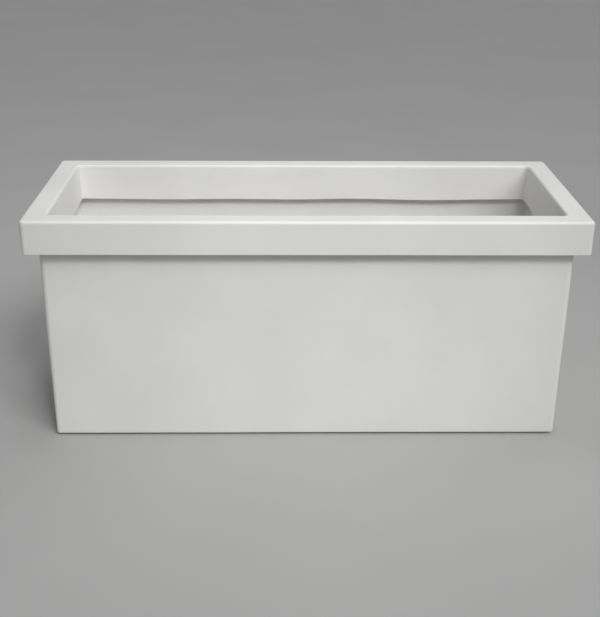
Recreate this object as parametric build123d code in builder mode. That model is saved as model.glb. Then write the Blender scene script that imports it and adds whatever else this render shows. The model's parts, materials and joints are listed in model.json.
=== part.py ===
"""Self-watering trough planter: a tapered plastic shell under a deep moulded rim collar.

Inside, two perforated platforms on columns hold the soil above a water reservoir. Soil-filled
wicking baskets reach down into the water. A capped tube fills the reservoir, a float shows its
level, and the back wall carries an overflow spout with a screw drain plug below it.

Millimetres. The origin is on the ground at the middle of the footprint, +X runs along the
length, -Y is the front and +Z is up.
"""

import os
from math import atan, degrees, hypot

from build123d import *

os.makedirs("parts", exist_ok=True)

# ---- overall size -------------------------------------------------------------------------
LENGTH = 914.0  # over the collar, along X
WIDTH = 381.5  # over the collar, along Y
HEIGHT = 395.0  # ground to the collar's top face

# ---- rim collar ---------------------------------------------------------------------------
COLLAR_T = 4.0
COLLAR_CORNER_R = 8.0
COLLAR_TOP_EDGE_R = 5.0
COLLAR_INNER_EDGE_R = 4.5
SKIRT_H = 56.5
SKIRT_DRAFT = 0.8  # the skirt's lower edge stands this far in
RIM_W = 38.0  # flat top, outer edge to opening
LIP_H = 64.5  # inner lip, hanging down from the opening
LIP_DRAFT = 5.0  # the lip's lower edge stands this far in
LIP_CORNER_R = 8.0
SOFT_EDGE_R = 1.2

# ---- shell --------------------------------------------------------------------------------
FOOT_H = 3.0
WALL = 5.0
OVERHANG = 21.2  # collar's outer edge to the shell's outer face, at the top
BODY_TAPER = 5.7  # each side comes in this far from top to ground
BODY_CORNER_R = 6.0  # at the base; the taper widens it towards the top
BASE_EDGE_R = 3.5
INNER_CORNER_R = 4.0
FLOOR_EDGE_R = 3.0
BASE_Z = FOOT_H
FLOOR_Z = BASE_Z + WALL
RECESS_INSET = 46.0
RECESS_DEPTH = 1.5
BOSS_GAP = 5.0  # collar bosses hold the top plate this far above the flange
FLANGE_T = 5.0
FLANGE_TOP = HEIGHT - COLLAR_T - BOSS_GAP
FLANGE_GAP = 1.5  # flange edge to the skirt's inner face

# ---- collar screws and locating ribs ------------------------------------------------------
SCREW_INSET = 13.3  # from the collar's outer edge
SCREW_X = (-340.0, -170.0, 0.0, 170.0, 340.0)
SCREW_Y = (-80.0, 80.0)
COLLAR_BOSS_R = 4.5
PILOT_R = 2.0
PILOT_DEPTH = 7.0
SCREW_R = 1.9
SCREW_L = 11.5
SCREW_HEAD_R = 4.0
SCREW_HEAD_H = 2.5
SCREW_CLEAR_R = 2.4
RIB_X = (-255.0, -85.0, 85.0, 255.0)
RIB_T = 2.5
RIB_H = 33.0
RIB_OUT = 27.1  # rib span, measured in from the collar's outer edge
RIB_IN = 37.4

# ---- feet ---------------------------------------------------------------------------------
FOOT_R = 16.0
FOOT_STEM_R = 4.0
FOOT_STEM_H = 3.0
FOOT_INSET = 26.0
FOOT_EDGE_R = 1.0

# ---- soil platforms -----------------------------------------------------------------------
PLATFORM_TOP = 118.0
PLATFORM_CORNER_R = 6.0
PLATE_T = 3.0
PLATFORM_GAP = 2.0  # to the shell's inner wall
SEAM_GAP = 1.0  # half the gap between the two platforms
PLATFORM_RIB_T = 2.5
PLATFORM_RIB_H = 10.0
RIB_ROWS_Y = (-62.0, 62.0)
RIB_COLUMNS_X = (60.0, 168.0, 252.0, 360.0)
# the left platform has fewer and wider drain holes than the right one
DRAIN_HOLE_R = {"left": 4.5, "right": 4.0}
DRAIN_PITCH = {"left": 36.0, "right": 30.0}
DRAIN_FIRST_X = {"left": 32.0, "right": 26.0}
DRAIN_FIRST_Y = {"left": -126.0, "right": -119.0}
DRAIN_COLUMNS = {"left": 11, "right": 13}
DRAIN_ROWS = {"left": 8, "right": 9}
DRAIN_MARGIN = 3.0
SOCKET_H = 10.0
SOCKET_T = 2.5
CLIP_Y = (-95.0, 0.0, 95.0)
CLIP_L = 28.0
CLIP_T = 2.0

# ---- support columns ----------------------------------------------------------------------
COLUMN_TOP_R = 13.0
COLUMN_FOOT_R = 18.0
COLUMN_T = 2.5
COLUMN_NOTCH_W = 8.0
COLUMN_NOTCH_H = 10.0
COLUMN_SPOTS = ((30, 118), (30, -118), (210, 118), (210, -118), (392, 118), (318, -118))

# ---- wicking baskets ----------------------------------------------------------------------
BASKET_SPOTS = (114.0, 306.0)  # distance from the seam, on the centre line
BASKET_TOP_R = 46.5
BASKET_FOOT_R = 38.0
BASKET_T = 2.5
BASKET_FLANGE_R = 52.0
BASKET_FLANGE_T = 3.0
BASKET_CLEAR = 1.0
BASKET_SLOTS = 12
BASKET_SLOT_W = 4.0
BASKET_SLOT_H = 62.0
BASKET_SLOT_Z = 26.0
BASKET_FLOOR_HOLE_R = 3.0

# ---- fill tube, cup and cap ---------------------------------------------------------------
FILL_X, FILL_Y = 382.0, -118.0
FILL_TUBE_R = 16.0
FILL_TUBE_T = 2.0
FILL_TUBE_TOP = 316.0
NOTCH_W = 10.0
NOTCH_H = 14.0
CUP_TOP = 361.0
CUP_R = 26.0
CUP_T = 3.0
CUP_STRAIGHT_H = 24.0
SOCKET_OUT_R = 19.0
SOCKET_FIT = 0.1
CUP_SOCKET_H = 20.0
CAP_T = 3.0
CAP_SPIGOT_R = 22.0
CAP_SPIGOT_T = 2.0
CAP_SPIGOT_H = 6.0
CAP_TAB_L = 5.0
CAP_TAB_W = 16.0
CAP_EDGE_R = 1.0
CAP_GAP = 0.3  # closed cap to the cup's mouth
HINGE_OFFSET = 29.5  # from the cup's axis, on the -X side
HINGE_Z = CUP_TOP + 1.5
KNUCKLE_R = 3.5
KNUCKLE_HALF = 7.8
EAR_IN, EAR_OUT = 8.2, 12.2
PIN_R = 1.5
PIN_RUN = 0.07
PIN_HALF = 13.5
PIN_HEAD_R = 2.6
PIN_HEAD_T = 1.0

# ---- level indicator ----------------------------------------------------------------------
GAUGE_X, GAUGE_Y = -388.0, -122.0
GAUGE_TUBE_R = 11.0
GAUGE_TUBE_T = 2.0
GAUGE_TUBE_TOP = 300.0
GAUGE_FLOOR_T = 3.0
GLASS_R = 13.0
GLASS_BORE_R = 10.0
GLASS_LAP = 12.0
GLASS_TOP = 364.0
GLASS_ROOF_T = 2.0
GLASS_EDGE_R = 4.0
FLOAT_R = 8.0
FLOAT_H = 40.0
FLOAT_GAP = 0.3
ROD_R = 1.75
MARKER_R = 7.0
MARKER_H = 8.0
MARKER_Z = 302.0

# ---- wall fittings at the back ------------------------------------------------------------
FITTING_X = 300.0
OVERFLOW_Z = 86.0
DRAIN_Z = 29.0
BOSS_R = 18.0
BOSS_OUT = 1.9  # boss faces stand this far out of the sloping wall, and that far in
BOSS_IN = 0.9
SHANK_R = 9.2
SHANK_HOLE_R = 9.4
FITTING_FLANGE_R = 15.0
FITTING_FLANGE_T = 4.0
GASKET_T = 1.5
NUT_FLATS = 24.0
NUT_BORE_R = 9.25
NUT_T = 6.0
SHANK_IN = 13.0  # how far the shanks reach in past the boss
SPOUT_R = 8.0
SPOUT_BORE_R = 5.5
SPOUT_L = 14.0
SCREEN_R = 11.0
SCREEN_LAP = 6.0
SCREEN_T = 2.0
SCREEN_SLOT_W = 1.6
SCREEN_SLOT_SPOTS = (-6.0, -3.0, 0.0, 3.0, 6.0)
DRAIN_BORE_R = 6.5
PLUG_R = 6.4
PLUG_L = 16.0
PLUG_HEAD_R = 14.0
PLUG_HEAD_T = 4.0
PLUG_GRIP_W = 6.0
PLUG_GRIP_L = 24.0
PLUG_GRIP_H = 7.0
O_RING_MAJOR_R = 7.6
O_RING_R = 1.05
O_RING_SQUEEZE = 0.05

# ---- values worked out from those above ---------------------------------------------------
DRAFT_ANGLE = degrees(atan(BODY_TAPER / HEIGHT))
RIM_UNDERSIDE = HEIGHT - COLLAR_T
RIB_BOTTOM = RIM_UNDERSIDE - RIB_H
PLATE_BOTTOM = PLATFORM_TOP - PLATE_T
GAUGE_FLOOR_TOP = FLOOR_Z + 1.0 + GAUGE_FLOOR_T


def body_half(full, z):
    """Half the shell's outer size at height z, for the collar size it stands under."""
    return full / 2 - OVERHANG - BODY_TAPER * (1 - z / HEIGHT)


def save(builder, name):
    """Label a finished piece and write it as its own STEP file."""
    builder.part.label = name
    export_step(builder.part, f"parts/{name}.step")


def upright(x, y):
    """A vertical drawing plane through (x, y), with its own y along +Z, for turned profiles."""
    return Plane(origin=(x, y, 0), x_dir=(1, 0, 0), z_dir=(0, -1, 0))


def back_wall(y, z):
    """A drawing plane that faces +Y, for the fittings through the back wall."""
    return Plane(origin=(FITTING_X, y, z), x_dir=(-1, 0, 0), z_dir=(0, 1, 0))


screw_spots = [(x, side * (WIDTH / 2 - SCREW_INSET)) for side in (-1, 1) for x in SCREW_X]
screw_spots += [(side * (LENGTH / 2 - SCREW_INSET), y) for side in (-1, 1) for y in SCREW_Y]
foot_spots = [
    (x * (body_half(LENGTH, 0) - FOOT_INSET), y * (body_half(WIDTH, 0) - FOOT_INSET))
    for x in (-1, 0, 1)
    for y in (-1, 1)
]
basket_spots = {"left": [(-x, 0) for x in BASKET_SPOTS], "right": [(x, 0) for x in BASKET_SPOTS]}
column_spots = {
    "left": [(-x, y) for x, y in COLUMN_SPOTS],
    "right": list(COLUMN_SPOTS),
}
tube_spots = {"left": (GAUGE_X, GAUGE_Y, GAUGE_TUBE_R), "right": (FILL_X, FILL_Y, FILL_TUBE_R)}


# ---- planter shell ------------------------------------------------------------------------
boss_face = {z: body_half(WIDTH, z) + BOSS_OUT for z in (OVERFLOW_Z, DRAIN_Z)}
boss_back = {z: body_half(WIDTH, z) - WALL - BOSS_IN for z in (OVERFLOW_Z, DRAIN_Z)}

with BuildPart() as planter_shell:
    with BuildSketch(Plane.XY.offset(BASE_Z)):
        RectangleRounded(2 * body_half(LENGTH, BASE_Z), 2 * body_half(WIDTH, BASE_Z), BODY_CORNER_R)
    extrude(amount=FLANGE_TOP - BASE_Z, taper=-DRAFT_ANGLE)
    fillet(planter_shell.faces().sort_by(Axis.Z)[0].edges(), BASE_EDGE_R)
    with BuildSketch(Plane.XY.offset(FLOOR_Z)):
        RectangleRounded(
            2 * (body_half(LENGTH, FLOOR_Z) - WALL),
            2 * (body_half(WIDTH, FLOOR_Z) - WALL),
            INNER_CORNER_R,
        )
    extrude(amount=FLANGE_TOP - FLOOR_Z, taper=-DRAFT_ANGLE, mode=Mode.SUBTRACT)
    floor_face = planter_shell.faces().filter_by(GeomType.PLANE).filter_by_position(
        Axis.Z, FLOOR_Z - 0.1, FLOOR_Z + 0.1
    )[0]
    fillet(floor_face.edges(), FLOOR_EDGE_R)
    # The outward flange that carries the collar.
    with BuildSketch(Plane.XY.offset(FLANGE_TOP - FLANGE_T)):
        flange_inset = COLLAR_T + FLANGE_GAP
        RectangleRounded(
            LENGTH - 2 * flange_inset, WIDTH - 2 * flange_inset, COLLAR_CORNER_R - COLLAR_T + 1
        )
        RectangleRounded(
            2 * body_half(LENGTH, FLANGE_TOP) - WALL,
            2 * body_half(WIDTH, FLANGE_TOP) - WALL,
            BODY_CORNER_R + BODY_TAPER - WALL / 2,
            mode=Mode.SUBTRACT,
        )
    extrude(amount=FLANGE_T)
    with BuildSketch(Plane.XY.offset(FLANGE_TOP)):
        with Locations(*screw_spots):
            Circle(SCREW_CLEAR_R)
    extrude(amount=-FLANGE_T, mode=Mode.SUBTRACT)
    # Shallow recess under the base, so that the shell stands clear of the ground.
    with BuildSketch(Plane.XY.offset(BASE_Z)):
        RectangleRounded(
            2 * (body_half(LENGTH, BASE_Z) - RECESS_INSET),
            2 * (body_half(WIDTH, BASE_Z) - RECESS_INSET),
            BODY_CORNER_R,
        )
    extrude(amount=RECESS_DEPTH, mode=Mode.SUBTRACT)
    with BuildSketch(Plane.XY.offset(BASE_Z)):
        with Locations(*foot_spots):
            Circle(FOOT_STEM_R)
    extrude(amount=FOOT_STEM_H, mode=Mode.SUBTRACT)
    # Bosses with upright faces on the sloping back wall, for the overflow and the drain.
    for z in (OVERFLOW_Z, DRAIN_Z):
        with BuildSketch(back_wall(boss_back[z], z)):
            Circle(BOSS_R)
        extrude(amount=boss_face[z] - boss_back[z])
    for z in (OVERFLOW_Z, DRAIN_Z):
        with BuildSketch(back_wall(boss_back[z], z)):
            Circle(SHANK_HOLE_R)
        extrude(amount=boss_face[z] - boss_back[z], mode=Mode.SUBTRACT)
save(planter_shell, "planter_shell")


# ---- rim collar ---------------------------------------------------------------------------
skirt_angle = degrees(atan(SKIRT_DRAFT / SKIRT_H))
lip_angle = degrees(atan(LIP_DRAFT / LIP_H))

with BuildPart() as rim_collar:
    with BuildSketch(Plane.XY.offset(HEIGHT)):
        RectangleRounded(LENGTH, WIDTH, COLLAR_CORNER_R)
    extrude(amount=-SKIRT_H, taper=skirt_angle)
    with BuildSketch(Plane.XY.offset(RIM_UNDERSIDE)):
        RectangleRounded(LENGTH - 2 * COLLAR_T, WIDTH - 2 * COLLAR_T, COLLAR_CORNER_R - COLLAR_T)
    extrude(amount=-(SKIRT_H - COLLAR_T), taper=skirt_angle, mode=Mode.SUBTRACT)
    # Bosses that stand on the shell's flange, and ribs that centre the lip in the shell.
    with BuildSketch(Plane.XY.offset(RIM_UNDERSIDE)):
        with Locations(*screw_spots):
            Circle(COLLAR_BOSS_R)
    extrude(amount=-BOSS_GAP)
    with BuildSketch(Plane.XY.offset(RIB_BOTTOM)):
        rib_mid = (RIB_OUT + RIB_IN) / 2
        with Locations(*[(x, side * (WIDTH / 2 - rib_mid)) for side in (-1, 1) for x in RIB_X]):
            Rectangle(RIB_T, RIB_IN - RIB_OUT)
        with Locations(*[(side * (LENGTH / 2 - rib_mid), 0) for side in (-1, 1)]):
            Rectangle(RIB_IN - RIB_OUT, RIB_T)
    extrude(amount=RIB_H)
    with BuildSketch(Plane.XY.offset(HEIGHT)):
        lip_back = RIM_W - COLLAR_T
        RectangleRounded(LENGTH - 2 * lip_back, WIDTH - 2 * lip_back, LIP_CORNER_R + COLLAR_T)
    extrude(amount=-LIP_H, taper=lip_angle)
    with BuildSketch(Plane.XY.offset(HEIGHT)):
        RectangleRounded(LENGTH - 2 * RIM_W, WIDTH - 2 * RIM_W, LIP_CORNER_R)
    extrude(amount=-LIP_H, taper=lip_angle, mode=Mode.SUBTRACT)
    top_face = rim_collar.faces().sort_by(Axis.Z)[-1]
    fillet(top_face.outer_wire().edges(), COLLAR_TOP_EDGE_R)
    top_face = rim_collar.faces().sort_by(Axis.Z)[-1]
    fillet(top_face.inner_wires()[0].edges(), COLLAR_INNER_EDGE_R)
    lip_foot = rim_collar.faces().sort_by(Axis.Z)[0]
    fillet(lip_foot.edges(), SOFT_EDGE_R)
    skirt_foot = rim_collar.faces().filter_by(Plane.XY).filter_by_position(
        Axis.Z, HEIGHT - SKIRT_H - 0.1, HEIGHT - SKIRT_H + 0.1
    )[0]
    fillet(skirt_foot.edges(), SOFT_EDGE_R)
    with BuildSketch(Plane.XY.offset(RIM_UNDERSIDE - BOSS_GAP)):
        with Locations(*screw_spots):
            Circle(PILOT_R)
    extrude(amount=PILOT_DEPTH, mode=Mode.SUBTRACT)
save(rim_collar, "rim_collar")


# ---- collar screws ------------------------------------------------------------------------
head_top = FLANGE_TOP - FLANGE_T
with BuildPart() as collar_screws:
    with BuildSketch(Plane.XY.offset(head_top)):
        with Locations(*screw_spots):
            Circle(SCREW_R)
    extrude(amount=SCREW_L)
    with BuildSketch(Plane.XY.offset(head_top)):
        with Locations(*screw_spots):
            Circle(SCREW_HEAD_R)
    extrude(amount=-SCREW_HEAD_H)
    fillet(collar_screws.edges().group_by(Axis.Z)[0], SCREW_HEAD_H / 3)
    with BuildSketch(Plane.XY.offset(head_top - SCREW_HEAD_H)):
        with Locations(*screw_spots):
            Rectangle(SCREW_HEAD_R, 1)
            Rectangle(1, SCREW_HEAD_R)
    extrude(amount=SCREW_HEAD_H / 2, mode=Mode.SUBTRACT)
save(collar_screws, "collar_screws")


# ---- feet ---------------------------------------------------------------------------------
def foot_pad(x, y):
    """A rubber pad with a stem that presses into the base."""
    with BuildPart() as pad:
        with BuildSketch(Plane((x, y, 0))):
            Circle(FOOT_R)
        extrude(amount=FOOT_H)
        fillet(pad.edges().group_by(Axis.Z)[0], FOOT_EDGE_R)
        with BuildSketch(Plane((x, y, FOOT_H))):
            Circle(FOOT_STEM_R)
        extrude(amount=FOOT_STEM_H)
    return pad


for number, (x, y) in enumerate(foot_spots, 1):
    save(foot_pad(x, y), f"foot_pad_{number}")


# ---- soil platforms -----------------------------------------------------------------------
def drain_spots(side):
    """Grid places for drain holes that miss the ribs, baskets, columns and tubes."""
    sign = -1 if side == "left" else 1
    tube_x, tube_y, tube_r = tube_spots[side]
    reach = DRAIN_HOLE_R[side] + DRAIN_MARGIN
    kept = []
    for column in range(DRAIN_COLUMNS[side]):
        for row in range(DRAIN_ROWS[side]):
            x = sign * (DRAIN_FIRST_X[side] + column * DRAIN_PITCH[side])
            y = DRAIN_FIRST_Y[side] + row * DRAIN_PITCH[side]
            near_rib = any(abs(y - rib) < reach for rib in RIB_ROWS_Y) or any(
                abs(abs(x) - rib) < reach for rib in RIB_COLUMNS_X
            )
            near_round = (
                any(hypot(x - a, y - b) < BASKET_FLANGE_R + reach for a, b in basket_spots[side])
                or any(
                    hypot(x - a, y - b) < COLUMN_TOP_R + SOCKET_T + reach
                    for a, b in column_spots[side]
                )
                or hypot(x - tube_x, y - tube_y) < tube_r + reach
            )
            if not (near_rib or near_round):
                kept.append((x, y))
    return kept


def platform(side):
    """One perforated soil platform, ribbed underneath, with sockets for its columns."""
    sign = -1 if side == "left" else 1
    length = body_half(LENGTH, PLATFORM_TOP) - WALL - PLATFORM_GAP - SEAM_GAP
    width = 2 * (body_half(WIDTH, PLATFORM_TOP) - WALL - PLATFORM_GAP)
    middle = sign * (SEAM_GAP + length / 2)
    corner_r = PLATFORM_CORNER_R
    tube_x, tube_y, tube_r = tube_spots[side]
    with BuildPart() as panel:
        with BuildSketch(Plane((middle, 0, PLATE_BOTTOM))):
            RectangleRounded(length, width, corner_r)
        extrude(amount=PLATE_T)
        with BuildSketch(Plane((middle, 0, PLATE_BOTTOM))):
            RectangleRounded(length, width, corner_r)
            inner = 2 * PLATFORM_RIB_T
            RectangleRounded(
                length - inner, width - inner, corner_r - PLATFORM_RIB_T, mode=Mode.SUBTRACT
            )
            with Locations(*[(0, y) for y in RIB_ROWS_Y]):
                Rectangle(length - PLATFORM_RIB_T, PLATFORM_RIB_T)
            with Locations(*[(sign * x - middle, 0) for x in RIB_COLUMNS_X]):
                Rectangle(PLATFORM_RIB_T, width - PLATFORM_RIB_T)
        extrude(amount=-PLATFORM_RIB_H)
        with BuildSketch(Plane.XY.offset(PLATE_BOTTOM)):
            with Locations(*column_spots[side]):
                Circle(COLUMN_TOP_R + SOCKET_T)
            with Locations(*basket_spots[side]):
                Circle(BASKET_TOP_R + BASKET_CLEAR + PLATFORM_RIB_T)
            with Locations((tube_x, tube_y)):
                Circle(tube_r + PLATFORM_RIB_T)
        extrude(amount=-SOCKET_H)
        with BuildSketch(Plane.XY.offset(PLATE_BOTTOM)):
            with Locations(*column_spots[side]):
                Circle(COLUMN_TOP_R + SOCKET_FIT)
        extrude(amount=-SOCKET_H, mode=Mode.SUBTRACT)
        with BuildSketch(Plane.XY.offset(PLATFORM_TOP)):
            with Locations(*basket_spots[side]):
                Circle(BASKET_TOP_R + BASKET_CLEAR)
            with Locations((tube_x, tube_y)):
                Circle(tube_r + SOCKET_FIT)
            with Locations(*drain_spots(side)):
                Circle(DRAIN_HOLE_R[side])
        extrude(amount=-(PLATE_T + PLATFORM_RIB_H), mode=Mode.SUBTRACT)
    return panel


for side in ("left", "right"):
    save(platform(side), f"platform_{side}")


# ---- clips that hold the two platforms together -------------------------------------------
clip_inner = 2 * (SEAM_GAP + PLATFORM_RIB_T) + 2 * SOCKET_FIT
clip_bottom = PLATE_BOTTOM - PLATFORM_RIB_H - CLIP_T
with BuildPart() as platform_clips:
    with BuildSketch(Plane.XY.offset(clip_bottom)):
        with Locations(*[(0, y) for y in CLIP_Y]):
            Rectangle(clip_inner + 2 * CLIP_T, CLIP_L)
    extrude(amount=PLATFORM_RIB_H)
    with BuildSketch(Plane.XY.offset(clip_bottom + CLIP_T)):
        with Locations(*[(0, y) for y in CLIP_Y]):
            Rectangle(clip_inner, CLIP_L)
    extrude(amount=PLATFORM_RIB_H, mode=Mode.SUBTRACT)
save(platform_clips, "platform_clips")


# ---- support columns ----------------------------------------------------------------------
def support_column(x, y):
    """A hollow conical leg, open at the foot, with a plain spigot for the platform's socket."""
    with BuildPart() as column:
        with BuildSketch(upright(x, y)):
            with BuildLine():
                Polyline(
                    (0, PLATE_BOTTOM),
                    (COLUMN_TOP_R, PLATE_BOTTOM),
                    (COLUMN_TOP_R, PLATE_BOTTOM - SOCKET_H),
                    (COLUMN_FOOT_R, FLOOR_Z),
                    (COLUMN_FOOT_R - COLUMN_T, FLOOR_Z),
                    (COLUMN_TOP_R - COLUMN_T, PLATE_BOTTOM - SOCKET_H),
                    (COLUMN_TOP_R - COLUMN_T, PLATE_BOTTOM - COLUMN_T),
                    (0, PLATE_BOTTOM - COLUMN_T),
                    close=True,
                )
            make_face()
        revolve(axis=Axis((x, y, 0), (0, 0, 1)))
        with BuildSketch(Plane((x, y, FLOOR_Z))):
            Rectangle(2 * COLUMN_FOOT_R, COLUMN_NOTCH_W)
            Rectangle(COLUMN_NOTCH_W, 2 * COLUMN_FOOT_R)
        extrude(amount=COLUMN_NOTCH_H, mode=Mode.SUBTRACT)
    return column


for side in ("left", "right"):
    for number, (x, y) in enumerate(column_spots[side], 1):
        save(support_column(x, y), f"support_column_{side}_{number}")


# ---- wicking baskets ----------------------------------------------------------------------
def wicking_basket(x, y):
    """A slotted cup that hangs by its flange in a platform and stands in the water."""
    foot_z = FLOOR_Z + 1.5
    with BuildPart() as basket:
        with BuildSketch(upright(x, y)):
            with BuildLine():
                Polyline(
                    (0, foot_z),
                    (BASKET_FOOT_R, foot_z),
                    (BASKET_TOP_R, PLATFORM_TOP),
                    (BASKET_FLANGE_R, PLATFORM_TOP),
                    (BASKET_FLANGE_R, PLATFORM_TOP + BASKET_FLANGE_T),
                    (BASKET_TOP_R - BASKET_T, PLATFORM_TOP + BASKET_FLANGE_T),
                    (BASKET_FOOT_R - BASKET_T, foot_z + BASKET_T),
                    (0, foot_z + BASKET_T),
                    close=True,
                )
            make_face()
        revolve(axis=Axis((x, y, 0), (0, 0, 1)))
        with BuildSketch(Plane((x, y, BASKET_SLOT_Z))):
            with PolarLocations(BASKET_TOP_R, BASKET_SLOTS):
                Rectangle(BASKET_TOP_R, BASKET_SLOT_W)
        extrude(amount=BASKET_SLOT_H, mode=Mode.SUBTRACT)
        with BuildSketch(Plane((x, y, foot_z))):
            for ring, count in ((11, 5), (25, 10)):
                with PolarLocations(ring, count):
                    Circle(BASKET_FLOOR_HOLE_R)
        extrude(amount=BASKET_T, mode=Mode.SUBTRACT)
    return basket


for side in ("left", "right"):
    for place, (x, y) in zip(("inner", "outer"), basket_spots[side]):
        save(wicking_basket(x, y), f"wicking_basket_{side}_{place}")


# ---- fill tube ----------------------------------------------------------------------------
with BuildPart() as fill_tube:
    with BuildSketch(Plane((FILL_X, FILL_Y, FLOOR_Z))):
        Circle(FILL_TUBE_R)
        Circle(FILL_TUBE_R - FILL_TUBE_T, mode=Mode.SUBTRACT)
    extrude(amount=FILL_TUBE_TOP - FLOOR_Z)
    with BuildSketch(Plane((FILL_X, FILL_Y, FLOOR_Z))):
        Rectangle(2 * FILL_TUBE_R + 1, NOTCH_W)
        Rectangle(NOTCH_W, 2 * FILL_TUBE_R + 1)
    extrude(amount=NOTCH_H, mode=Mode.SUBTRACT)
save(fill_tube, "fill_tube")


# ---- fill cup with its hinge ears ---------------------------------------------------------
fill_axis = Axis((FILL_X, FILL_Y, 0), (0, 0, 1))
hinge_x = FILL_X - HINGE_OFFSET
cone_top = CUP_TOP - CUP_STRAIGHT_H
throat_r = FILL_TUBE_R - FILL_TUBE_T
socket_r = FILL_TUBE_R + SOCKET_FIT

with BuildPart() as fill_cup:
    with BuildSketch(upright(FILL_X, FILL_Y)):
        with BuildLine():
            Polyline(
                (CUP_R - CUP_T, CUP_TOP),
                (CUP_R, CUP_TOP),
                (CUP_R, cone_top),
                (SOCKET_OUT_R, FILL_TUBE_TOP),
                (SOCKET_OUT_R, FILL_TUBE_TOP - CUP_SOCKET_H),
                (socket_r, FILL_TUBE_TOP - CUP_SOCKET_H),
                (socket_r, FILL_TUBE_TOP),
                (throat_r, FILL_TUBE_TOP),
                (CUP_R - CUP_T, cone_top),
                close=True,
            )
        make_face()
    revolve(axis=fill_axis)
    for side in (-1, 1):
        ear_plane = Plane(
            origin=(hinge_x, FILL_Y + side * (EAR_IN + EAR_OUT) / 2, HINGE_Z),
            x_dir=(1, 0, 0),
            z_dir=(0, -1, 0),
        )
        with BuildSketch(ear_plane):
            Circle(KNUCKLE_R)
            with BuildLine():
                Polyline(
                    (-KNUCKLE_R, 0),
                    (-KNUCKLE_R, -KNUCKLE_R),
                    (KNUCKLE_R + 4.5, -2 * CUP_T - KNUCKLE_R - 5),
                    (KNUCKLE_R + 4.5, -2),
                    (KNUCKLE_R, -2),
                    (KNUCKLE_R, 0),
                    close=True,
                )
            make_face()
            Circle(PIN_R, mode=Mode.SUBTRACT)
        extrude(amount=(EAR_OUT - EAR_IN) / 2, both=True)
save(fill_cup, "fill_cup")


# ---- hinged fill cap ----------------------------------------------------------------------
hinge_plane = Plane(origin=(hinge_x, FILL_Y, HINGE_Z), x_dir=(1, 0, 0), z_dir=(0, -1, 0))

with BuildPart() as fill_cap:
    with BuildSketch(Plane((FILL_X, FILL_Y, CUP_TOP + CAP_GAP))):
        Circle(CUP_R)
        with Locations((CUP_R - CAP_TAB_L, 0)):
            RectangleRounded(4 * CAP_TAB_L, CAP_TAB_W, CAP_TAB_L / 2)
        with Locations((-CUP_R, 0)):
            Rectangle(CUP_R - CAP_TAB_L * 3, 2 * KNUCKLE_HALF)
    extrude(amount=CAP_T)
    fillet(fill_cap.edges().group_by(Axis.Z)[-1], CAP_EDGE_R)
    with BuildSketch(hinge_plane):
        Circle(KNUCKLE_R)
    extrude(amount=KNUCKLE_HALF, both=True)
    with BuildSketch(Plane((FILL_X, FILL_Y, CUP_TOP + CAP_GAP))):
        Circle(CAP_SPIGOT_R)
        Circle(CAP_SPIGOT_R - CAP_SPIGOT_T, mode=Mode.SUBTRACT)
    extrude(amount=-CAP_SPIGOT_H)
    with BuildSketch(hinge_plane):
        Circle(PIN_R + PIN_RUN)
    extrude(amount=KNUCKLE_HALF, both=True, mode=Mode.SUBTRACT)
save(fill_cap, "fill_cap")

with BuildPart() as fill_cap_pin:
    with BuildSketch(hinge_plane):
        Circle(PIN_R)
    extrude(amount=PIN_HALF, both=True)
    for side in (-1, 1):
        with BuildSketch(hinge_plane.offset(side * (EAR_OUT + 0.1))):
            Circle(PIN_HEAD_R)
        extrude(amount=side * PIN_HEAD_T)
save(fill_cap_pin, "fill_cap_pin")


# ---- level indicator ----------------------------------------------------------------------
gauge_axis = Axis((GAUGE_X, GAUGE_Y, 0), (0, 0, 1))
gauge_bore = GAUGE_TUBE_R - GAUGE_TUBE_T
float_z = GAUGE_FLOOR_TOP + FLOAT_GAP

with BuildPart() as gauge_tube:
    with BuildSketch(Plane((GAUGE_X, GAUGE_Y, FLOOR_Z))):
        Circle(GAUGE_TUBE_R)
        Circle(gauge_bore, mode=Mode.SUBTRACT)
    extrude(amount=GAUGE_TUBE_TOP - FLOOR_Z)
    with BuildSketch(Plane((GAUGE_X, GAUGE_Y, GAUGE_FLOOR_TOP - GAUGE_FLOOR_T))):
        Circle(GAUGE_TUBE_R - GAUGE_TUBE_T / 2)
        with PolarLocations(gauge_bore / 2, 3):
            Circle(ROD_R, mode=Mode.SUBTRACT)
    extrude(amount=GAUGE_FLOOR_T)
    with BuildSketch(Plane((GAUGE_X, GAUGE_Y, GAUGE_FLOOR_TOP))):
        Rectangle(2 * GAUGE_TUBE_R + 1, GAUGE_TUBE_T * 2)
        Rectangle(GAUGE_TUBE_T * 2, 2 * GAUGE_TUBE_R + 1)
    extrude(amount=FLOAT_H / 2, mode=Mode.SUBTRACT)
save(gauge_tube, "gauge_tube")

with BuildPart() as gauge_glass:
    with BuildSketch(upright(GAUGE_X, GAUGE_Y)):
        with BuildLine():
            Polyline(
                (GAUGE_TUBE_R + SOCKET_FIT, GAUGE_TUBE_TOP - GLASS_LAP),
                (GLASS_R, GAUGE_TUBE_TOP - GLASS_LAP),
                (GLASS_R, GLASS_TOP),
                (0, GLASS_TOP),
                (0, GLASS_TOP - GLASS_ROOF_T),
                (GLASS_BORE_R, GLASS_TOP - GLASS_ROOF_T),
                (GLASS_BORE_R, GAUGE_TUBE_TOP),
                (GAUGE_TUBE_R + SOCKET_FIT, GAUGE_TUBE_TOP),
                close=True,
            )
        make_face()
    revolve(axis=gauge_axis)
    fillet(gauge_glass.edges().group_by(Axis.Z)[-1], GLASS_EDGE_R)
save(gauge_glass, "gauge_glass")

with BuildPart() as gauge_float:
    with BuildSketch(Plane((GAUGE_X, GAUGE_Y, float_z))):
        Circle(FLOAT_R)
    extrude(amount=FLOAT_H)
    fillet(gauge_float.edges(), FLOAT_R / 3)
save(gauge_float, "gauge_float")

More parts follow.
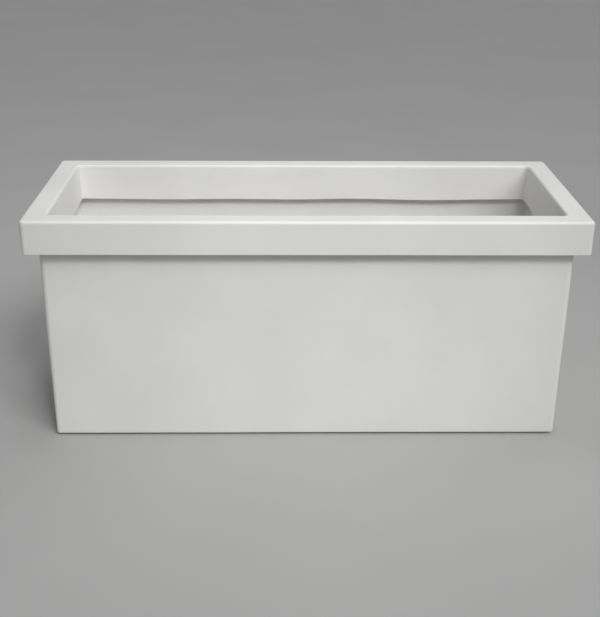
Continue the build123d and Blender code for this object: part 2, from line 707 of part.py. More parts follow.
with BuildPart() as gauge_rod:
    with BuildSketch(Plane((GAUGE_X, GAUGE_Y, float_z + FLOAT_H))):
        Circle(ROD_R)
    extrude(amount=MARKER_Z - float_z - FLOAT_H)
save(gauge_rod, "gauge_rod")

with BuildPart() as gauge_marker:
    with BuildSketch(Plane((GAUGE_X, GAUGE_Y, MARKER_Z))):
        Circle(MARKER_R)
    extrude(amount=MARKER_H)
    fillet(gauge_marker.edges(), MARKER_H / 5)
save(gauge_marker, "gauge_marker")


# ---- wall fittings: parts that the overflow and the drain share ---------------------------
def fitting_gasket(z):
    """A flat rubber washer between the wall boss and a fitting's flange."""
    with BuildPart() as gasket:
        with BuildSketch(back_wall(boss_face[z], z)):
            Circle(FITTING_FLANGE_R)
            Circle(SHANK_HOLE_R, mode=Mode.SUBTRACT)
        extrude(amount=GASKET_T)
    return gasket


def fitting_nut(z):
    """The hexagonal nut inside the wall."""
    with BuildPart() as nut:
        with BuildSketch(back_wall(boss_back[z], z)):
            RegularPolygon(NUT_FLATS / 2, 6, major_radius=False)
            Circle(NUT_BORE_R, mode=Mode.SUBTRACT)
        extrude(amount=-NUT_T)
    return nut


flange_back = {z: boss_face[z] + GASKET_T for z in (OVERFLOW_Z, DRAIN_Z)}
flange_front = {z: flange_back[z] + FITTING_FLANGE_T for z in (OVERFLOW_Z, DRAIN_Z)}
shank_l = {z: flange_back[z] - boss_back[z] + SHANK_IN for z in (OVERFLOW_Z, DRAIN_Z)}

for name, z in (("overflow", OVERFLOW_Z), ("drain", DRAIN_Z)):
    save(fitting_gasket(z), f"{name}_gasket")
    save(fitting_nut(z), f"{name}_nut")

with BuildPart() as overflow_spout:
    with BuildSketch(back_wall(flange_back[OVERFLOW_Z], OVERFLOW_Z)):
        Circle(FITTING_FLANGE_R)
    extrude(amount=FITTING_FLANGE_T)
    fillet(overflow_spout.edges().group_by(Axis.Y)[-1], SOFT_EDGE_R)
    with BuildSketch(back_wall(flange_back[OVERFLOW_Z], OVERFLOW_Z)):
        Circle(SHANK_R)
    extrude(amount=-shank_l[OVERFLOW_Z])
    with BuildSketch(back_wall(flange_front[OVERFLOW_Z], OVERFLOW_Z)):
        Circle(SPOUT_R)
    extrude(amount=SPOUT_L)
    chamfer(overflow_spout.edges().group_by(Axis.Y)[-1], 0.8)
    with BuildSketch(back_wall(flange_front[OVERFLOW_Z] + SPOUT_L, OVERFLOW_Z)):
        Circle(SPOUT_BORE_R)
    extrude(amount=-(SPOUT_L + FITTING_FLANGE_T + shank_l[OVERFLOW_Z]), mode=Mode.SUBTRACT)
save(overflow_spout, "overflow_spout")

shank_end = flange_back[OVERFLOW_Z] - shank_l[OVERFLOW_Z]
with BuildPart() as overflow_screen:
    with BuildSketch(back_wall(shank_end + SCREEN_LAP, OVERFLOW_Z)):
        Circle(SCREEN_R)
        Circle(NUT_BORE_R, mode=Mode.SUBTRACT)
    extrude(amount=-SCREEN_LAP)
    with BuildSketch(back_wall(shank_end, OVERFLOW_Z)):
        Circle(SCREEN_R)
        with Locations(*[(x, 0) for x in SCREEN_SLOT_SPOTS]):
            Rectangle(SCREEN_SLOT_W, SPOUT_BORE_R, mode=Mode.SUBTRACT)
    extrude(amount=-SCREEN_T)
save(overflow_screen, "overflow_screen")

with BuildPart() as drain_bush:
    with BuildSketch(back_wall(flange_back[DRAIN_Z], DRAIN_Z)):
        Circle(FITTING_FLANGE_R)
    extrude(amount=FITTING_FLANGE_T)
    fillet(drain_bush.edges().group_by(Axis.Y)[-1], SOFT_EDGE_R)
    with BuildSketch(back_wall(flange_back[DRAIN_Z], DRAIN_Z)):
        Circle(SHANK_R)
    extrude(amount=-shank_l[DRAIN_Z])
    with BuildSketch(back_wall(flange_front[DRAIN_Z], DRAIN_Z)):
        Circle(DRAIN_BORE_R)
    extrude(amount=-(FITTING_FLANGE_T + shank_l[DRAIN_Z]), mode=Mode.SUBTRACT)
save(drain_bush, "drain_bush")


# ---- drain plug and its O-ring ------------------------------------------------------------
ring_gap = 2 * (O_RING_R + O_RING_SQUEEZE)
head_back = flange_front[DRAIN_Z] + ring_gap

with BuildPart() as drain_plug:
    with BuildSketch(back_wall(head_back, DRAIN_Z)):
        Circle(PLUG_HEAD_R)
    extrude(amount=PLUG_HEAD_T)
    fillet(drain_plug.edges().group_by(Axis.Y)[-1], SOFT_EDGE_R)
    with BuildSketch(back_wall(head_back + PLUG_HEAD_T, DRAIN_Z)):
        SlotOverall(PLUG_GRIP_L, PLUG_GRIP_W)
    extrude(amount=PLUG_GRIP_H)
    fillet(drain_plug.edges().group_by(Axis.Y)[-1], SOFT_EDGE_R)
    with BuildSketch(back_wall(head_back, DRAIN_Z)):
        Circle(PLUG_R)
    extrude(amount=-(PLUG_L + ring_gap))
    chamfer(drain_plug.edges().group_by(Axis.Y)[0], 1)
save(drain_plug, "drain_plug")

with BuildPart() as drain_o_ring:
    ring_plane = Plane(
        origin=(FITTING_X, flange_front[DRAIN_Z] + ring_gap / 2, DRAIN_Z),
        x_dir=(0, 0, 1),
        z_dir=(1, 0, 0),
    )
    with BuildSketch(ring_plane):
        with Locations((O_RING_MAJOR_R, 0)):
            Circle(O_RING_R)
    revolve(axis=Axis((FITTING_X, 0, DRAIN_Z), (0, 1, 0)))
save(drain_o_ring, "drain_o_ring")
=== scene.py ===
"""Self-watering trough planter in a plain studio: moulded white shell and rim collar, with the
platforms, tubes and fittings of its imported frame. Metres, in the frame's own axes: +X along the
length, -Y the front and +Z up."""

import json
import math

import bmesh
import bpy
from mathutils import Matrix, Vector, noise


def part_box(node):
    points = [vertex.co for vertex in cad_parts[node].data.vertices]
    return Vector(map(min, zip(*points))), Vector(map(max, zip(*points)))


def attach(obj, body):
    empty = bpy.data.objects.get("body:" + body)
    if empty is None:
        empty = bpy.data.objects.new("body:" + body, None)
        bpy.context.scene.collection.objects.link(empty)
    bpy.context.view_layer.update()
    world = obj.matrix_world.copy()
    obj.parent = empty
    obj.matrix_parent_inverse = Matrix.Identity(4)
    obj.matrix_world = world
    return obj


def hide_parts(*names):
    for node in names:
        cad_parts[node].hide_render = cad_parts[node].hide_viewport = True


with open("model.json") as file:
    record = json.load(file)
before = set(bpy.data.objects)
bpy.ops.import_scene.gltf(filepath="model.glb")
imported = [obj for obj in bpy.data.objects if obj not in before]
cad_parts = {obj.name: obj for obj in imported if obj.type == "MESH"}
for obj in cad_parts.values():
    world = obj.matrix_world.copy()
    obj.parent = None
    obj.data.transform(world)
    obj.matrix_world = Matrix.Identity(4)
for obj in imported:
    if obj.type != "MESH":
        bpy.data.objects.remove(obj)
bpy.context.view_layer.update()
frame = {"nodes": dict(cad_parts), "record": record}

MM = 0.001

# ---- sizes that the frame gives ------------------------------------------------------------
collar_low, collar_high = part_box("rim_collar")
shell_low, shell_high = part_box("planter_shell")
RIM_Z = collar_high[2]
COLLAR_HALF = (collar_high[0], collar_high[1])
SHELL_BASE_Z = shell_low[2]
FLANGE_TOP_Z = shell_high[2]
FLANGE_HALF = (shell_high[0], shell_high[1])
PLANTER = "planter"

# ---- moulding details ----------------------------------------------------------------------
COLLAR_WALL = 4 * MM
COLLAR_CORNER = 8 * MM
COLLAR_TOP_EDGE = 5 * MM
OPENING_EDGE = 4.5 * MM
OPENING_CORNER = 8 * MM
SKIRT_HEIGHT = 56.5 * MM
SKIRT_DRAFT = 0.8 * MM
RIM_WIDTH = 38 * MM
LIP_HEIGHT = collar_high[2] - collar_low[2]
LIP_DRAFT = 5 * MM
SMALL_EDGE = 1.2 * MM
INNER_FILLET = 2.0 * MM
SHELL_WALL = 5 * MM
SHELL_CORNER = 6 * MM
INNER_CORNER = 4 * MM
OVERHANG = 21.2 * MM
BODY_TAPER = 5.7 * MM
BASE_EDGE = 3.5 * MM
FLOOR_EDGE = 3 * MM
FLANGE_THICKNESS = 5 * MM
RECESS_INSET = 46 * MM
RECESS_DEPTH = 1.5 * MM
BOSS_RADIUS = 18 * MM
SHANK_HOLE_RADIUS = 9.4 * MM
SCREW_X = (-0.34, -0.17, 0.0, 0.17, 0.34)
SCREW_Y = (-0.08, 0.08)
SCREW_HEAD_RADIUS = 4 * MM
COLLAR_BOSS_RADIUS = 4.5 * MM
PILOT_RADIUS = 2 * MM
RIB_X = (-0.255, -0.085, 0.085, 0.255)
RIB_WIDTH = 2.5 * MM
RIB_HEIGHT = 33 * MM
RIB_SPAN = (27.1 * MM, 37.4 * MM)
UNDULATION = 0.5 * MM
UNDULATION_LENGTH = 0.16
UNDULATION_GAIN = 1.6
LIP_WAVE = 2.6 * MM
LIP_WAVE_LENGTH = 0.17
LIP_WAVE_START = 0.2  # the share of the lip's height that stays straight
COLLAR_SEED = 3.1
SHELL_SEED = 8.4

CORNER_STEPS = 8
SIDE_STEPS = (72, 30)
ARC_STEPS = 7
SMALL_ARC_STEPS = 4
TURNED_STEPS = 64
WALL_STEP = 16 * MM
HOLD = 1.5 * MM
SMALLEST_CORNER = 0.4 * MM
HOLE_CUT_LENGTH = 40 * MM


# ---- mesh helpers --------------------------------------------------------------------------
def ring(half_x, half_y, radius, z):
    """Points round a rounded rectangle at height z: the same number for every ring."""
    radius = max(radius, SMALLEST_CORNER)
    flat_x, flat_y = half_x - radius, half_y - radius
    corners = ((flat_x, flat_y), (-flat_x, flat_y), (-flat_x, -flat_y), (flat_x, -flat_y))
    points = []
    for number, (cx, cy) in enumerate(corners):
        for step in range(CORNER_STEPS + 1):
            angle = math.pi / 2 * (number + step / CORNER_STEPS)
            points.append((cx + radius * math.cos(angle), cy + radius * math.sin(angle), z))
        nx, ny = corners[(number + 1) % 4]
        end_angle = math.pi / 2 * (number + 1)
        ox, oy = radius * math.cos(end_angle), radius * math.sin(end_angle)
        count = SIDE_STEPS[number % 2]
        for step in range(1, count):
            t = step / count
            points.append((cx + (nx - cx) * t + ox, cy + (ny - cy) * t + oy, z))
    return points


def linked_piece(name, mesh):
    """An object made from a bmesh, linked to the scene."""
    data = bpy.data.meshes.new(name)
    mesh.to_mesh(data)
    mesh.free()
    piece = bpy.data.objects.new(name, data)
    bpy.context.scene.collection.objects.link(piece)
    return piece


def mesh_from_rings(name, rings, closed):
    """A mesh through the rings: closed on itself, or capped flat at its first and last ring."""
    mesh = bmesh.new()
    rows = [[mesh.verts.new(point) for point in points] for points in rings]
    count = len(rows[0])
    pairs = list(zip(rows, rows[1:]))
    if closed:
        pairs.append((rows[-1], rows[0]))
    for low, high in pairs:
        for i in range(count):
            j = (i + 1) % count
            mesh.faces.new((low[i], low[j], high[j], high[i]))
    if not closed:
        mesh.faces.new(list(reversed(rows[0])))
        mesh.faces.new(rows[-1])
    bmesh.ops.recalc_face_normals(mesh, faces=mesh.faces)
    return linked_piece(name, mesh)


def arc(centre, radius, start, end, steps=ARC_STEPS):
    """Points of an arc in the (inset, height) plane, angles in degrees."""
    points = []
    for step in range(steps + 1):
        angle = math.radians(start + (end - start) * step / steps)
        points.append((centre[0] + radius * math.cos(angle), centre[1] + radius * math.sin(angle)))
    return points


def between(a, b, step=WALL_STEP):
    """Points strictly between a and b, with one close to each end to hold the flat shading."""
    length = math.dist(a, b)
    hold = min(HOLD, length / 4)
    count = max(1, round((length - 2 * hold) / step))
    distances = [hold + (length - 2 * hold) * k / count for k in range(count + 1)]
    return [(a[0] + (b[0] - a[0]) * d / length, a[1] + (b[1] - a[1]) * d / length) for d in distances]


def swell(piece, amount, length, seed):
    """Moves a moulded surface in by up to amount, in slow waves as a cooling moulding does."""
    data = piece.data
    offset = Vector((seed, seed * 2.3, seed * 0.7))
    moves = []
    for vertex in data.vertices:
        wave = max(-1, min(1, UNDULATION_GAIN * noise.noise(vertex.co / length + offset)))
        moves.append(vertex.normal * (-amount * (0.5 + 0.5 * wave)))
    for vertex, move in zip(data.vertices, moves):
        vertex.co += move


def smooth(piece):
    """Smooth shading whose normals follow the large faces."""
    for polygon in piece.data.polygons:
        polygon.use_smooth = True
    modifier = piece.modifiers.new("weighted_normals", "WEIGHTED_NORMAL")
    modifier.mode = "FACE_AREA_WITH_ANGLE"
    modifier.weight = 80


def turned(name, profile, centre, direction, steps=TURNED_STEPS):
    """A closed ring turned about the axis at centre; profile is (radius, distance along it)."""
    axis = Vector(direction)
    side = axis.orthogonal().normalized()
    other = axis.cross(side)
    mesh = bmesh.new()
    rows = []
    for step in range(steps):
        angle = 2 * math.pi * step / steps
        out = side * math.cos(angle) + other * math.sin(angle)
        rows.append([mesh.verts.new(Vector(centre) + out * r + axis * d) for r, d in profile])
    for here, after in zip(rows, rows[1:] + rows[:1]):
        for i in range(len(profile)):
            j = (i + 1) % len(profile)
            mesh.faces.new((here[i], here[j], after[j], after[i]))
    bmesh.ops.recalc_face_normals(mesh, faces=mesh.faces)
    return linked_piece(name, mesh)


# ---- rim collar ----------------------------------------------------------------------------
def collar_profile():
    """The collar's closed section as (inset, height, corner radius) from its outer face."""
    skirt_slope = SKIRT_DRAFT / SKIRT_HEIGHT
    lip_slope = LIP_DRAFT / LIP_HEIGHT
    foot = -SKIRT_HEIGHT
    lip_foot = -LIP_HEIGHT

    def skirt_in(height):
        return -height * skirt_slope

    def lip_in(height):
        return RIM_WIDTH - height * lip_slope

    def section(points, radius_at):
        return [(inset, height, radius_at(inset)) for inset, height in points]

    def outer_radius(inset):
        return COLLAR_CORNER - inset

    def top_radius(inset):
        first, last = COLLAR_TOP_EDGE, RIM_WIDTH - OPENING_EDGE
        share = (inset - first) / (last - first)
        start, end = outer_radius(first), OPENING_CORNER + OPENING_EDGE
        return start + (end - start) * share

    def lip_radius(inset):
        return OPENING_CORNER - (inset - RIM_WIDTH)

    def under_radius(inset):
        first, last = COLLAR_WALL, RIM_WIDTH - COLLAR_WALL
        start, end = COLLAR_CORNER - COLLAR_WALL, OPENING_CORNER + COLLAR_WALL
        return start + (end - start) * (inset - first) / (last - first)

    skirt_bottom = skirt_in(foot)
    lip_bottom = lip_in(lip_foot)
    outer_face = (skirt_in(foot + SMALL_EDGE), foot + SMALL_EDGE)
    outer_top = (skirt_in(-COLLAR_TOP_EDGE), -COLLAR_TOP_EDGE)
    under = -COLLAR_WALL
    points = section(
        arc((skirt_bottom + SMALL_EDGE, foot + SMALL_EDGE), SMALL_EDGE, 270, 180, SMALL_ARC_STEPS)
        + between(outer_face, outer_top)
        + arc((COLLAR_TOP_EDGE, -COLLAR_TOP_EDGE), COLLAR_TOP_EDGE, 180, 90),
        outer_radius,
    )
    points += section(
        between((COLLAR_TOP_EDGE, 0), (RIM_WIDTH - OPENING_EDGE, 0)), top_radius
    )
    points += section(
        arc((RIM_WIDTH - OPENING_EDGE, -OPENING_EDGE), OPENING_EDGE, 90, 0)
        + between(
            (lip_in(-OPENING_EDGE), -OPENING_EDGE),
            (lip_in(lip_foot + SMALL_EDGE), lip_foot + SMALL_EDGE),
        )
        + arc((lip_bottom - SMALL_EDGE, lip_foot + SMALL_EDGE), SMALL_EDGE, 0, -90, SMALL_ARC_STEPS)
        + arc(
            (lip_bottom - COLLAR_WALL + SMALL_EDGE, lip_foot + SMALL_EDGE),
            SMALL_EDGE,
            -90,
            -180,
            SMALL_ARC_STEPS,
        )
        + between(
            (lip_in(lip_foot + SMALL_EDGE) - COLLAR_WALL, lip_foot + SMALL_EDGE),
            (lip_in(under - INNER_FILLET) - COLLAR_WALL, under - INNER_FILLET),
        ),
        lip_radius,
    )
    back = lip_in(under) - COLLAR_WALL
    points += section(
        arc((back - INNER_FILLET, under - INNER_FILLET), INNER_FILLET, 0, 90, SMALL_ARC_STEPS)
        + between((back - INNER_FILLET, under), (COLLAR_WALL + INNER_FILLET, under))
        + arc(
            (COLLAR_WALL + INNER_FILLET, under - INNER_FILLET), INNER_FILLET, 90, 180, SMALL_ARC_STEPS
        ),
        under_radius,
    )
    points += section(
        between(
            (COLLAR_WALL + skirt_in(under - INNER_FILLET), under - INNER_FILLET),
            (COLLAR_WALL + skirt_bottom, foot + SMALL_EDGE),
        )
        + arc(
            (skirt_bottom + COLLAR_WALL - SMALL_EDGE, foot + SMALL_EDGE),
            SMALL_EDGE,
            0,
            -90,
            SMALL_ARC_STEPS,
        ),
        outer_radius,
    )
    return points


def build_collar():
    """The collar's smooth surface, its lip's foot wavering as in a cooled moulding."""
    rings = [
        ring(COLLAR_HALF[0] - inset, COLLAR_HALF[1] - inset, radius, RIM_Z + height)
        for inset, height, radius in collar_profile()
    ]
    collar = mesh_from_rings("collar", rings, closed=True)
    for vertex in collar.data.vertices:
        depth = (RIM_Z - vertex.co.z) / LIP_HEIGHT
        inset = min(COLLAR_HALF[0] - abs(vertex.co.x), COLLAR_HALF[1] - abs(vertex.co.y))
        if inset > RIM_WIDTH - COLLAR_WALL and depth > LIP_WAVE_START:
            wave = noise.noise(Vector((vertex.co.x, vertex.co.y, 0)) / LIP_WAVE_LENGTH)
            vertex.co.z += LIP_WAVE * wave * (depth - LIP_WAVE_START) / (1 - LIP_WAVE_START)
    swell(collar, UNDULATION, UNDULATION_LENGTH, COLLAR_SEED)
    return collar


def block(mesh, low, high):
    """Adds a closed box between two corners to a bmesh."""
    made = bmesh.ops.create_cube(mesh, size=1)["verts"]
    for vertex in made:
        for axis in range(3):
            share = vertex.co[axis] + 0.5
            vertex.co[axis] = low[axis] + (high[axis] - low[axis]) * share


def build_collar_ribs():
    """The thin ribs behind the lip that centre it in the shell."""
    mesh = bmesh.new()
    under = RIM_Z - COLLAR_WALL
    bottom, top = under - RIB_HEIGHT, under + COLLAR_WALL / 4
    for side in (-1, 1):
        near, far = sorted(side * (COLLAR_HALF[1] - inset) for inset in RIB_SPAN)
        for x in RIB_X:
            block(mesh, (x - RIB_WIDTH / 2, near, bottom), (x + RIB_WIDTH / 2, far, top))
        near, far = sorted(side * (COLLAR_HALF[0] - inset) for inset in RIB_SPAN)
        block(mesh, (near, -RIB_WIDTH / 2, bottom), (far, RIB_WIDTH / 2, top))
    bmesh.ops.bevel(
        mesh, geom=mesh.edges[:], offset=SMALL_EDGE / 3, segments=2, affect="EDGES", profile=0.5
    )
    return linked_piece("collar_ribs", mesh)


def build_collar_bosses():
    """The round bosses under the rim that stand on the shell's flange, one for each screw."""
    screw_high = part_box("collar_screws")[1]
    line_x, line_y = screw_high[0] - SCREW_HEAD_RADIUS, screw_high[1] - SCREW_HEAD_RADIUS
    spots = [(x, side * line_y) for side in (-1, 1) for x in SCREW_X]
    spots += [(side * line_x, y) for side in (-1, 1) for y in SCREW_Y]
    height = RIM_Z - COLLAR_WALL - FLANGE_TOP_Z + COLLAR_WALL / 4
    edge = SMALL_EDGE / 3
    profile = [
        (PILOT_RADIUS, 0),
        (COLLAR_BOSS_RADIUS - edge, 0),
        (COLLAR_BOSS_RADIUS, edge),
        (COLLAR_BOSS_RADIUS, height),
        (PILOT_RADIUS, height),
    ]
    return [
        turned(f"collar_boss_{number}", profile, (x, y, FLANGE_TOP_Z), (0, 0, 1), TURNED_STEPS // 2)
        for number, (x, y) in enumerate(spots, 1)
    ]


# ---- planter shell -------------------------------------------------------------------------
def body_inset(z):
    """From the collar's outer face in to the shell's outer face, at height z."""
    return OVERHANG + BODY_TAPER * (1 - z / RIM_Z)


def shell_profile():
    """The shell's section as (inset, height, corner radius), from its base round to its floor."""
    base = SHELL_BASE_Z
    floor = base + SHELL_WALL
    flange_under = FLANGE_TOP_Z - FLANGE_THICKNESS
    flange_inset = COLLAR_HALF[0] - FLANGE_HALF[0]

    def outer_radius(inset):
        return SHELL_CORNER + body_inset(base) - inset

    def inner_radius(inset):
        return INNER_CORNER + body_inset(floor) + SHELL_WALL - inset

    foot = body_inset(base)
    recess = foot + RECESS_INSET
    points = [(recess + RECESS_DEPTH, base + RECESS_DEPTH)]
    points += [(recess, base)]
    points += between((recess, base), (foot + BASE_EDGE, base), 4 * WALL_STEP)
    points += arc((foot + BASE_EDGE, base + BASE_EDGE), BASE_EDGE, 270, 180)
    wall_foot = (body_inset(base + BASE_EDGE), base + BASE_EDGE)
    wall_top = (body_inset(flange_under), flange_under)
    points += between(wall_foot, wall_top)
    points += [wall_top]
    section = [(inset, z, outer_radius(inset)) for inset, z in points]
    flange_corner = COLLAR_CORNER - COLLAR_WALL + MM
    inner_corner = outer_radius(wall_top[0]) - SHELL_WALL
    edge = SMALL_EDGE / 2
    for inset, z in (
        (flange_inset + edge, flange_under),
        (flange_inset, flange_under + edge),
        (flange_inset, FLANGE_TOP_Z - edge),
        (flange_inset + edge, FLANGE_TOP_Z),
    ):
        section.append((inset, z, flange_corner))
    inner_top = (body_inset(FLANGE_TOP_Z) + SHELL_WALL, FLANGE_TOP_Z)
    section.append((inner_top[0] - edge, FLANGE_TOP_Z, inner_corner))
    inner_foot = (body_inset(floor + FLOOR_EDGE) + SHELL_WALL, floor + FLOOR_EDGE)
    inner = between((inner_top[0], FLANGE_TOP_Z - edge), inner_foot)
    inner += arc(
        (body_inset(floor) + SHELL_WALL + FLOOR_EDGE, floor + FLOOR_EDGE), FLOOR_EDGE, 180, 270
    )
    inner += [(body_inset(floor) + SHELL_WALL + FLOOR_EDGE + 2 * MM, floor)]
    section += [(inset, z, inner_radius(inset)) for inset, z in inner]
    return section


def cut_round_hole(piece, centre, radius, length):
    """Cuts a hole along Y through a piece."""
    bpy.ops.mesh.primitive_cylinder_add(
        vertices=TURNED_STEPS, radius=radius, depth=length, location=centre, rotation=(math.pi / 2, 0, 0)
    )
    cutter = bpy.context.object
    modifier = piece.modifiers.new("hole", "BOOLEAN")
    modifier.operation = "DIFFERENCE"
    modifier.solver = "EXACT"
    modifier.object = cutter
    evaluated = piece.evaluated_get(bpy.context.evaluated_depsgraph_get())
    cut = bpy.data.meshes.new_from_object(evaluated)
    piece.modifiers.remove(modifier)
    piece.data = cut
    bpy.data.objects.remove(cutter)


def build_shell():
    """The trough's smooth surface and the two bosses on its back wall."""
    rings = [
        ring(COLLAR_HALF[0] - inset, COLLAR_HALF[1] - inset, radius, z)
        for inset, z, radius in shell_profile()
    ]
    shell = mesh_from_rings("shell", rings, closed=False)
    swell(shell, UNDULATION, UNDULATION_LENGTH, SHELL_SEED)
    bosses = []
    for fitting in ("overflow", "drain"):
        low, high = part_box(f"{fitting}_gasket")
        nut_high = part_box(f"{fitting}_nut")[1]
        x, z = (low[0] + high[0]) / 2, (low[2] + high[2]) / 2
        depth = low[1] - nut_high[1]
        cut_round_hole(shell, (x, nut_high[1] + depth / 2, z), SHANK_HOLE_RADIUS, HOLE_CUT_LENGTH)
        edge = SMALL_EDGE / 2
        profile = [
            (SHANK_HOLE_RADIUS, 0),
            (BOSS_RADIUS - SMALL_EDGE, 0),
            (BOSS_RADIUS, edge),
            (BOSS_RADIUS, depth - edge),
            (BOSS_RADIUS - edge, depth),
            (SHANK_HOLE_RADIUS, depth),
        ]
        bosses.append(turned(f"{fitting}_boss", profile, (x, nut_high[1], z), (0, 1, 0)))
    return shell, bosses


# ---- materials -----------------------------------------------------------------------------
def finish_material(
    name, color, roughness, variation=0.03, grain=0.04, grain_scale=900, wear=0.1
):
    """A moulded plastic: slow colour drift, an orange-peel bump, and edges rubbed by handling."""
    material = bpy.data.materials.new(name)
    material.use_nodes = True
    nodes, links = material.node_tree.nodes, material.node_tree.links
    shader = nodes["Principled BSDF"]
    shader.inputs["Specular IOR Level"].default_value = 0.5
    place = nodes.new("ShaderNodeTexCoord")

    def noise_texture(scale, detail, rough=0.5):
        texture = nodes.new("ShaderNodeTexNoise")
        texture.inputs["Scale"].default_value = scale
        texture.inputs["Detail"].default_value = detail
        texture.inputs["Roughness"].default_value = rough
        links.new(place.outputs["Object"], texture.inputs["Vector"])
        return texture

    def span(source, low, high, out_low, out_high):
        remap = nodes.new("ShaderNodeMapRange")
        remap.inputs["From Min"].default_value = low
        remap.inputs["From Max"].default_value = high
        remap.inputs["To Min"].default_value = out_low
        remap.inputs["To Max"].default_value = out_high
        links.new(source, remap.inputs["Value"])
        return remap.outputs["Result"]

    cloud = noise_texture(scale=5, detail=4)
    drift = nodes.new("ShaderNodeValToRGB")
    dark = [c * (1 - variation) for c in color]
    light = [min(1, c * (1 + variation)) for c in color]
    drift.color_ramp.elements[0].position = 0.35
    drift.color_ramp.elements[0].color = (*dark, 1)
    drift.color_ramp.elements[1].position = 0.65
    drift.color_ramp.elements[1].color = (*light, 1)
    links.new(cloud.outputs["Fac"], drift.inputs["Fac"])

    geometry = nodes.new("ShaderNodeNewGeometry")
    scuffs = noise_texture(scale=60, detail=6, rough=0.7)
    edge = span(geometry.outputs["Pointiness"], 0.51, 0.56, 0, 1)
    worn = nodes.new("ShaderNodeMath")
    worn.operation = "MULTIPLY"
    links.new(edge, worn.inputs[0])
    links.new(span(scuffs.outputs["Fac"], 0.45, 0.65, 0, wear), worn.inputs[1])
    rubbed = nodes.new("ShaderNodeMix")
    rubbed.data_type = "RGBA"
    links.new(worn.outputs[0], rubbed.inputs["Factor"])
    links.new(drift.outputs["Color"], rubbed.inputs["A"])
    rubbed.inputs["B"].default_value = (*[c * 0.55 + 0.42 for c in color], 1)
    links.new(rubbed.outputs["Result"], shader.inputs["Base Color"])

    streaks = noise_texture(scale=22, detail=5, rough=0.6)
    links.new(
        span(streaks.outputs["Fac"], 0.3, 0.7, roughness - 0.05, roughness + 0.06),
        shader.inputs["Roughness"],
    )

    peel = noise_texture(grain_scale, detail=3, rough=0.55)
    slow = noise_texture(scale=14, detail=2)
    fine_bump = nodes.new("ShaderNodeBump")
    fine_bump.inputs["Strength"].default_value = grain
    fine_bump.inputs["Distance"].default_value = 0.0006
    slow_bump = nodes.new("ShaderNodeBump")
    slow_bump.inputs["Strength"].default_value = 0.12
    slow_bump.inputs["Distance"].default_value = 0.0012
    links.new(slow.outputs["Fac"], slow_bump.inputs["Height"])
    links.new(peel.outputs["Fac"], fine_bump.inputs["Height"])
    links.new(slow_bump.outputs["Normal"], fine_bump.inputs["Normal"])
    links.new(fine_bump.outputs["Normal"], shader.inputs["Normal"])
    return material


def metal_material(name, color, roughness):
    """Turned stainless steel with a fine grain."""
    material = finish_material(
        name, color, roughness, variation=0.05, grain=0.08, grain_scale=2500, wear=0.0
    )
    material.node_tree.nodes["Principled BSDF"].inputs["Metallic"].default_value = 1
    return material


def clear_material(name):
    """Clear moulded plastic with a faint haze."""
    material = finish_material(
        name, (0.93, 0.95, 0.96), 0.12, variation=0.01, grain=0.02, grain_scale=500, wear=0.0
    )
    shader = material.node_tree.nodes["Principled BSDF"]
    shader.inputs["Transmission Weight"].default_value = 1
    shader.inputs["IOR"].default_value = 1.49
    return material


WHITE = (0.87, 0.865, 0.845)
materials = {
    "shell_plastic": finish_material("shell_plastic", WHITE, 0.46),
    "collar_plastic": finish_material("collar_plastic", WHITE, 0.44),
    "platform_plastic": finish_material("platform_plastic", (0.80, 0.795, 0.775), 0.5, 0.04),
    "basket_plastic": finish_material("basket_plastic", (0.60, 0.60, 0.585), 0.52, 0.05),
    "tube_plastic": finish_material("tube_plastic", (0.52, 0.52, 0.50), 0.42, 0.05),
    "fill_plastic": finish_material("fill_plastic", (0.09, 0.095, 0.10), 0.48, 0.1),
    "fitting_plastic": finish_material("fitting_plastic", (0.035, 0.035, 0.038), 0.36, 0.1),
    "clear_plastic": clear_material("clear_plastic"),
    "float_plastic": finish_material("float_plastic", (0.78, 0.76, 0.70), 0.65, 0.05, 0.3, 400),
    "rod_plastic": finish_material("rod_plastic", (0.72, 0.71, 0.69), 0.4),
    "marker_plastic": finish_material("marker_plastic", (0.55, 0.035, 0.022), 0.35, 0.06),
    "black_rubber": finish_material("black_rubber", (0.022, 0.022, 0.023), 0.75, 0.2, 0.2, 1200),
    "stainless_steel": metal_material("stainless_steel", (0.60, 0.59, 0.57), 0.3),
}


# ---- the planter ---------------------------------------------------------------------------
slots = {part["node"]: part["material_slot"] for part in frame["record"]["subparts"]}
for node, piece in frame["nodes"].items():
    piece.data.materials.clear()
    piece.data.materials.append(materials[slots[node]])

collar = build_collar()
shell, bosses = build_shell()
for piece, slot_name in [(collar, "collar_plastic"), (shell, "shell_plastic")]:
    smooth(piece)
    piece.data.materials.append(materials[slot_name])
    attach(piece, PLANTER)
details = [(boss, "shell_plastic") for boss in bosses]
details += [(piece, "collar_plastic") for piece in [build_collar_ribs()] + build_collar_bosses()]
for piece, slot_name in details:
    piece.data.materials.append(materials[slot_name])
    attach(piece, PLANTER)
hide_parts("rim_collar")
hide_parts("planter_shell")


# ---- studio --------------------------------------------------------------------------------
FLOOR_SIZE = 90
FLOOR_DARK = (0.47, 0.47, 0.465, 1)
FLOOR_LIGHT = (0.51, 0.51, 0.505, 1)
SKY_COLOR = (0.92, 0.93, 0.95, 1)
SKY_STRENGTH = 0.15
FAR_LIGHT_DISTANCE = 5
SPOT_RADIUS = 0.45
SPOT_DISTANCE = 4


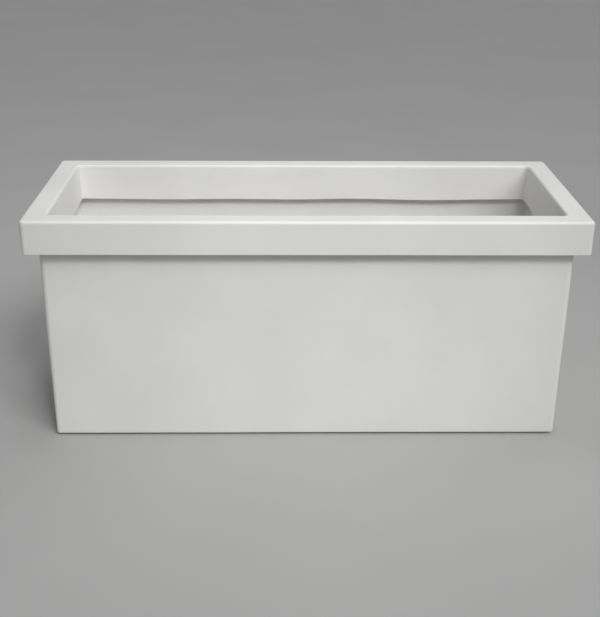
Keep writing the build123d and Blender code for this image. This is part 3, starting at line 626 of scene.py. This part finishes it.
def studio_floor():
    """A wide pale floor."""
    bpy.ops.mesh.primitive_plane_add(size=1)
    floor = bpy.context.object
    floor.name = "floor"
    floor.scale = (FLOOR_SIZE, FLOOR_SIZE, 1)
    material = bpy.data.materials.new("floor_paper")
    material.use_nodes = True
    nodes, links = material.node_tree.nodes, material.node_tree.links
    shader = nodes["Principled BSDF"]
    shader.inputs["Roughness"].default_value = 0.75
    shader.inputs["Specular IOR Level"].default_value = 0.2
    texture = nodes.new("ShaderNodeTexNoise")
    texture.inputs["Scale"].default_value = 3
    place = nodes.new("ShaderNodeNewGeometry")
    links.new(place.outputs["Position"], texture.inputs["Vector"])
    ramp = nodes.new("ShaderNodeValToRGB")
    ramp.color_ramp.elements[0].color = FLOOR_DARK
    ramp.color_ramp.elements[1].color = FLOOR_LIGHT
    links.new(texture.outputs["Fac"], ramp.inputs["Fac"])
    links.new(ramp.outputs["Color"], shader.inputs["Base Color"])
    floor.data.materials.append(material)
    return floor


def add_light(name, data, location, aim):
    """Hang a light at a location, shining along the aim."""
    light = bpy.data.objects.new(name, data)
    light.location = location
    light.rotation_euler = aim.to_track_quat("-Z", "Y").to_euler()
    bpy.context.scene.collection.objects.link(light)


def area_light(name, location, target, side, power):
    """A soft square light aimed at a point."""
    data = bpy.data.lights.new(name, "AREA")
    data.shape = "SQUARE"
    data.size = side
    data.energy = power
    add_light(name, data, location, target - location)


def far_light(name, direction, width, strength):
    """A distant soft light from a direction, width degrees across."""
    data = bpy.data.lights.new(name, "SUN")
    data.angle = math.radians(width)
    data.energy = strength
    add_light(name, data, direction * FAR_LIGHT_DISTANCE, -direction)


def spot_light(name, location, target, width, power):
    """A soft round pool of light on a point, width degrees across."""
    data = bpy.data.lights.new(name, "SPOT")
    data.spot_size = math.radians(width)
    data.spot_blend = 1.0
    data.shadow_soft_size = SPOT_RADIUS
    data.energy = power
    add_light(name, data, location, target - location)


studio_floor()

middle = Vector((0, 0, RIM_Z / 2))
spot_direction = Vector((0.2, -0.86, 0.8)).normalized()
far_light("key", Vector((0.66, -0.86, 0.95)), width=36, strength=1.28)
far_light("rear", Vector((0.35, 0.75, 0.95)), width=40, strength=0.36)
spot_light("spot", middle + SPOT_DISTANCE * spot_direction, middle, width=22, power=220)
area_light("overhead", Vector((-0.1, -0.1, 3.2)), middle, side=2.2, power=22)

world = bpy.data.worlds.new("studio")
world.use_nodes = True
background = world.node_tree.nodes["Background"]
background.inputs["Color"].default_value = SKY_COLOR
background.inputs["Strength"].default_value = SKY_STRENGTH
bpy.context.scene.world = world

# ---- camera --------------------------------------------------------------------------------
CAMERA_LENS = 64.42
CAMERA_PITCH = math.radians(22.26)
CAMERA_YAW = math.radians(-1.16)
CAMERA_ROLL = math.radians(0.44)
CAMERA_FROM_RIM = Vector((-0.0461, -1.8522, 0.5328))

camera_data = bpy.data.cameras.new("camera")
camera_data.lens = CAMERA_LENS
camera_data.sensor_width = 36
camera = bpy.data.objects.new("camera", camera_data)
camera.matrix_world = (
    Matrix.Translation(CAMERA_FROM_RIM + Vector((0, 0, RIM_Z)))
    @ Matrix.Rotation(CAMERA_YAW, 4, "Z")
    @ Matrix.Rotation(math.pi / 2 - CAMERA_PITCH, 4, "X")
    @ Matrix.Rotation(CAMERA_ROLL, 4, "Z")
)
bpy.context.scene.collection.objects.link(camera)
bpy.context.scene.camera = camera

scene = bpy.context.scene
scene.view_settings.view_transform = "Standard"
scene.view_settings.look = "None"
